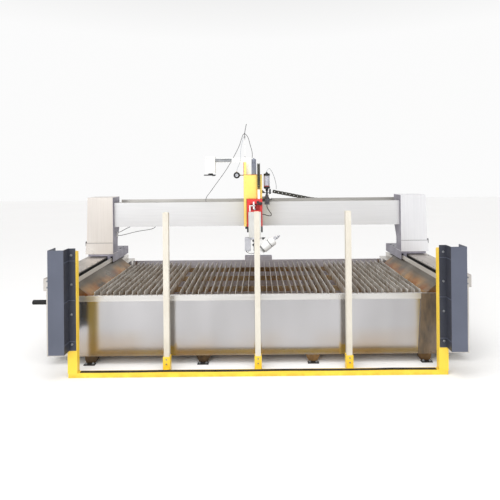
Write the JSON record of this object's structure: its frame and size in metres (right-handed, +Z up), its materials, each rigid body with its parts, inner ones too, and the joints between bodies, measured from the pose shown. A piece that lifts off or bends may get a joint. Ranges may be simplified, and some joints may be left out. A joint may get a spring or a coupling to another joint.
{
  "type": "waterjet slab saw",
  "caption": "Gantry waterjet machine that saws stone slabs: slatted stainless tank, travelling gantry with a five-axis head, toe bar with slab rest posts and guard panels.",
  "frame": {"origin": "middle of the toe bar's underside, on the floor", "axes": "+X along the toe bar to the operator's right, +Y from the toe bar towards the machine's back, +Z up"},
  "size_m": [5.0023, 2.45, 2.8127],
  "materials": {
    "painted_yellow": "gloss",
    "cream_paint": "satin",
    "slate_paint": "satin",
    "tank_stainless": "brushed",
    "side_stainless": "brushed",
    "cover_stainless": "satin brushed",
    "slat_steel": "worn, with rust stains",
    "black_paint": "satin",
    "rail_steel": "ground",
    "dark_paint": "satin",
    "motor_black": "satin",
    "white_paint": "satin",
    "gauge_black": "matte",
    "clear_plastic": "clear",
    "red_paint": "gloss",
    "ram_grey": "satin anodised",
    "head_paint": "satin",
    "chain_plastic": "matte",
    "hose_rubber": "matte",
    "grip_rubber": "matte"
  },
  "bodies": {
    "base": {"toe_bar": "painted_yellow", "guard_post_left": "painted_yellow", "guard_post_right": "painted_yellow", "guard_panel_left": "slate_paint", "guard_panel_right": "slate_paint", "tank_front": "tank_stainless", "tank_rear": "tank_stainless", "tank_side_left": "tank_stainless", "tank_side_right": "tank_stainless", "side_beam_left": "side_stainless", "side_beam_right": "side_stainless", "rail_cover_left": "cover_stainless", "rail_cover_right": "cover_stainless", "slats_left": "slat_steel", "slats_centre": "slat_steel", "slats_right": "slat_steel", "bed_rail_left": "slat_steel", "bed_rail_right": "slat_steel", "tank_floor": "black_paint", "rail_left": "rail_steel", "rail_right": "rail_steel", "rack_left": "rail_steel", "rack_right": "rail_steel"},
    "rest_left": {"rest_post_left": "cream_paint"},
    "rest_centre": {"rest_post_centre": "cream_paint"},
    "rest_right": {"rest_post_right": "cream_paint"},
    "handle": {"side_handle": "grip_rubber"},
    "gantry": {"saddle_left": "dark_paint", "saddle_right": "dark_paint", "leg_left": "cover_stainless", "leg_right": "cover_stainless", "gantry_motor_left": "motor_black", "gantry_motor_right": "motor_black", "beam": "dark_paint", "beam_cover": "cover_stainless", "beam_rail_lower": "rail_steel", "beam_rail_upper": "rail_steel", "beam_rack": "rail_steel", "chain_trough": "dark_paint", "leg_cables": "hose_rubber"},
    "pinion_left": {"pinion_left": "rail_steel"},
    "pinion_right": {"pinion_right": "rail_steel"},
    "carriage": {"carriage_frame": "dark_paint", "column": "painted_yellow", "z_motor": "motor_black", "hose_arm": "white_paint", "vision_box": "white_paint", "pressure_gauge": "gauge_black", "abrasive_hopper": "clear_plastic", "metering_valve": "motor_black", "x_chain": "chain_plastic", "z_chain": "chain_plastic", "air_line": "hose_rubber", "return_line": "hose_rubber", "abrasive_hose": "hose_rubber"},
    "z_slide": {"ram": "ram_grey", "slide_frame": "red_paint"},
    "swivel": {"swivel_arm": "head_paint", "head_hose": "hose_rubber"},
    "tilt": {"cutting_head": "head_paint"}
  },
  "joints": [
    {"name": "gantry_travel", "type": "slide", "parent": "base", "child": "gantry", "axis": [0, 1, 0], "range_m": [-0.85, 0.08]},
    {"name": "carriage_travel", "type": "slide", "parent": "gantry", "child": "carriage", "axis": [1, 0, 0], "range_m": [-1.6, 1.6], "deforming": ["air_line"]},
    {"name": "z_travel", "type": "slide", "parent": "carriage", "child": "z_slide", "axis": [0, 0, 1], "range_m": [-0.17, 0.08], "deforming": ["z_chain", "abrasive_hose"]},
    {"name": "head_swivel", "type": "hinge", "parent": "z_slide", "child": "swivel", "pos_m": [-0.0275, 1.1455, 1.2], "axis": [0, 0, 1], "range_deg": [-180, 180]},
    {"name": "head_tilt", "type": "hinge", "parent": "swivel", "child": "tilt", "pos_m": [-0.0275, 1.1455, 1.05], "axis": [0.788, 0, 0.6157], "range_deg": [-85, 85], "deforming": ["head_hose"]},
    {"name": "pinion_left_turn", "type": "hinge", "parent": "gantry", "child": "pinion_left", "pos_m": [-2.093, 1.6, 0.9], "axis": [0, 0, 1], "range_deg": [-1800, 1800]},
    {"name": "pinion_right_turn", "type": "hinge", "parent": "gantry", "child": "pinion_right", "pos_m": [2.093, 1.6, 0.9], "axis": [0, 0, 1], "range_deg": [-1800, 1800]},
    {"name": "rest_left_lift", "type": "slide", "parent": "base", "child": "rest_left", "axis": [0, 0, 1], "range_m": [0, 0.15]},
    {"name": "rest_centre_lift", "type": "slide", "parent": "base", "child": "rest_centre", "axis": [0, 0, 1], "range_m": [0, 0.15]},
    {"name": "rest_right_lift", "type": "slide", "parent": "base", "child": "rest_right", "axis": [0, 0, 1], "range_m": [0, 0.15]},
    {"name": "handle_turn", "type": "hinge", "parent": "base", "child": "handle", "pos_m": [-2.47, 0.32, 0.696], "axis": [-1, 0, 0], "range_deg": [0, 90]}
  ],
  "couplings": [
    {"joint": "pinion_left_turn", "follows": "gantry_travel", "rad_per_m": 35.336},
    {"joint": "pinion_right_turn", "follows": "gantry_travel", "rad_per_m": -35.336}
  ]
}
